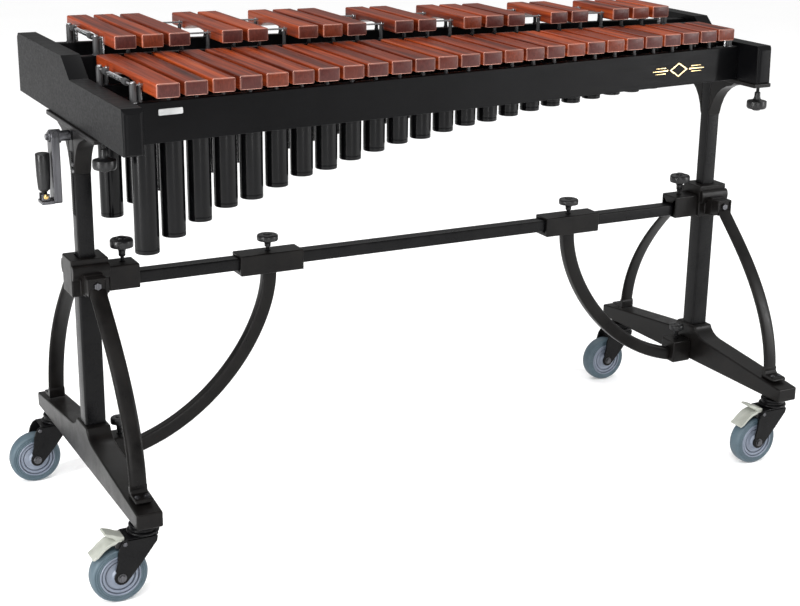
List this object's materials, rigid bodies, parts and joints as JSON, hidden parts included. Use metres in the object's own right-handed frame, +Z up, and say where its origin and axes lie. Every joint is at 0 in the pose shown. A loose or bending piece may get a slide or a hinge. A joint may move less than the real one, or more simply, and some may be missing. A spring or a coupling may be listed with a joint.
{
  "type": "xylophone",
  "caption": "Concert xylophone with two rows of rosewood bars and tube resonators on a rolling, height-adjustable stand with a crank.",
  "frame": {"origin": "on the floor, under the middle of the bounding box", "axes": "+X along the keyboard towards the high notes, +Y away from the player, +Z up"},
  "size_m": [1.4492, 0.6324, 0.8875],
  "materials": {
    "black_cast": "black powder coat over cast metal, satin",
    "black_steel": "black powder coat, satin",
    "black_lacquer": "black satin lacquer",
    "black_plastic": "moulded, matte",
    "rosewood": "oiled, satin",
    "tyre_grey": "blue-grey moulded tread",
    "hub_grey": "pale grey moulded",
    "pedal_grey": "pale grey moulded",
    "resonator_black": "black anodised, satin"
  },
  "bodies": {
    "stand": {"left_foot": "black_cast", "left_outer_post": "black_steel", "left_collar": "black_cast", "left_front_arch": "black_steel", "left_rear_arch": "black_steel", "left_crossbar_socket": "black_cast", "left_brace_sleeve": "black_cast", "left_curved_brace": "black_steel", "left_foot_bracket": "black_cast", "right_foot": "black_cast", "right_outer_post": "black_steel", "right_collar": "black_cast", "right_front_arch": "black_steel", "right_rear_arch": "black_steel", "right_crossbar_socket": "black_cast", "right_brace_sleeve": "black_cast", "right_curved_brace": "black_steel", "right_foot_bracket": "black_cast", "crossbar": "black_steel"},
    "keyboard": {"left_end_block": "black_lacquer", "left_inner_post": "black_steel", "left_top_plate": "black_steel", "right_end_block": "black_lacquer", "right_inner_post": "black_steel", "right_top_plate": "black_steel", "front_rail": "black_lacquer", "inner_natural_rail": "black_lacquer", "inner_raised_rail": "black_lacquer", "rear_rail": "black_lacquer", "natural_bars": "rosewood", "raised_bars": "rosewood", "natural_resonators": "resonator_black", "raised_resonators": "resonator_black"},
    "crank": {"crank_arm": "black_steel"},
    "crank_grip": {"crank_handle": "black_plastic"},
    "left_front_caster": {"left_front_fork": "black_steel"},
    "left_front_wheel": {"left_front_tyre": "tyre_grey", "left_front_hub": "hub_grey"},
    "left_rear_caster": {"left_rear_fork": "black_steel"},
    "left_rear_wheel": {"left_rear_tyre": "tyre_grey", "left_rear_hub": "hub_grey"},
    "left_pedal": {"left_brake_pedal": "pedal_grey"},
    "left_socket_knob": {"left_socket_knob": "black_plastic"},
    "left_sleeve_knob": {"left_sleeve_knob": "black_plastic"},
    "left_foot_knob": {"left_foot_knob": "black_plastic"},
    "left_block_knob": {"left_block_knob": "black_plastic"},
    "right_front_caster": {"right_front_fork": "black_steel"},
    "right_front_wheel": {"right_front_tyre": "tyre_grey", "right_front_hub": "hub_grey"},
    "right_rear_caster": {"right_rear_fork": "black_steel"},
    "right_rear_wheel": {"right_rear_tyre": "tyre_grey", "right_rear_hub": "hub_grey"},
    "right_pedal": {"right_brake_pedal": "pedal_grey"},
    "right_socket_knob": {"right_socket_knob": "black_plastic"},
    "right_sleeve_knob": {"right_sleeve_knob": "black_plastic"},
    "right_foot_knob": {"right_foot_knob": "black_plastic"},
    "right_block_knob": {"right_block_knob": "black_plastic"}
  },
  "joints": [
    {"name": "keyboard_lift", "type": "slide", "parent": "stand", "child": "keyboard", "axis": [0, 0, 1], "range_m": [-0.05, 0.11]},
    {"name": "crank_turn", "type": "hinge", "parent": "keyboard", "child": "crank", "pos_m": [-0.6777, -0.00825, 0.728], "axis": [-1, 0, 0], "range_deg": [-722, 1586]},
    {"name": "crank_handle_fold", "type": "hinge", "parent": "crank", "child": "crank_grip", "pos_m": [-0.6947, -0.00825, 0.6288], "axis": [0, -1, 0], "range_deg": [0, 90]},
    {"name": "left_front_swivel", "type": "hinge", "parent": "stand", "child": "left_front_caster", "pos_m": [-0.631, -0.27425, 0.112], "axis": [0, 0, 1], "continuous": true},
    {"name": "left_front_roll", "type": "hinge", "parent": "left_front_caster", "child": "left_front_wheel", "pos_m": [-0.676, -0.27425, 0.0486], "axis": [0, 1, 0], "continuous": true},
    {"name": "left_rear_swivel", "type": "hinge", "parent": "stand", "child": "left_rear_caster", "pos_m": [-0.631, 0.25775, 0.112], "axis": [0, 0, 1], "continuous": true},
    {"name": "left_rear_roll", "type": "hinge", "parent": "left_rear_caster", "child": "left_rear_wheel", "pos_m": [-0.676, 0.25775, 0.0486], "axis": [0, 1, 0], "continuous": true},
    {"name": "left_brake_press", "type": "hinge", "parent": "left_front_caster", "child": "left_pedal", "pos_m": [-0.664, -0.27425, 0.112], "axis": [0, 1, 0], "range_deg": [-5, 18]},
    {"name": "left_socket_knob_turn", "type": "hinge", "parent": "stand", "child": "left_socket_knob", "pos_m": [-0.5657, -0.00825, 0.52], "axis": [0, 0, 1], "continuous": true},
    {"name": "left_sleeve_knob_turn", "type": "hinge", "parent": "stand", "child": "left_sleeve_knob", "pos_m": [-0.2937, -0.00825, 0.5], "axis": [0, 0, 1], "continuous": true},
    {"name": "left_foot_knob_turn", "type": "hinge", "parent": "stand", "child": "left_foot_knob", "pos_m": [-0.5847, -0.00825, 0.2], "axis": [0, 0, 1], "continuous": true},
    {"name": "left_block_knob_turn", "type": "hinge", "parent": "keyboard", "child": "left_block_knob", "pos_m": [-0.631, -0.15025, 0.72], "axis": [0, 0, 1], "continuous": true},
    {"name": "right_front_swivel", "type": "hinge", "parent": "stand", "child": "right_front_caster", "pos_m": [0.6916, -0.27425, 0.112], "axis": [0, 0, 1], "continuous": true},
    {"name": "right_front_roll", "type": "hinge", "parent": "right_front_caster", "child": "right_front_wheel", "pos_m": [0.6466, -0.27425, 0.0486], "axis": [0, 1, 0], "continuous": true},
    {"name": "right_rear_swivel", "type": "hinge", "parent": "stand", "child": "right_rear_caster", "pos_m": [0.6916, 0.25775, 0.112], "axis": [0, 0, 1], "continuous": true},
    {"name": "right_rear_roll", "type": "hinge", "parent": "right_rear_caster", "child": "right_rear_wheel", "pos_m": [0.6466, 0.25775, 0.0486], "axis": [0, 1, 0], "continuous": true},
    {"name": "right_brake_press", "type": "hinge", "parent": "right_front_caster", "child": "right_pedal", "pos_m": [0.6586, -0.27425, 0.112], "axis": [0, 1, 0], "range_deg": [-5, 18]},
    {"name": "right_socket_knob_turn", "type": "hinge", "parent": "stand", "child": "right_socket_knob", "pos_m": [0.6263, -0.00825, 0.52], "axis": [0, 0, 1], "continuous": true},
    {"name": "right_sleeve_knob_turn", "type": "hinge", "parent": "stand", "child": "right_sleeve_knob", "pos_m": [0.3543, -0.00825, 0.5], "axis": [0, 0, 1], "continuous": true},
    {"name": "right_foot_knob_turn", "type": "hinge", "parent": "stand", "child": "right_foot_knob", "pos_m": [0.6453, -0.00825, 0.2], "axis": [0, 0, 1], "continuous": true},
    {"name": "right_block_knob_turn", "type": "hinge", "parent": "keyboard", "child": "right_block_knob", "pos_m": [0.6916, -0.15025, 0.72], "axis": [0, 0, 1], "continuous": true}
  ],
  "couplings": [
    {"joint": "crank_turn", "follows": "keyboard_lift", "rad_per_m": 251.33}
  ]
}
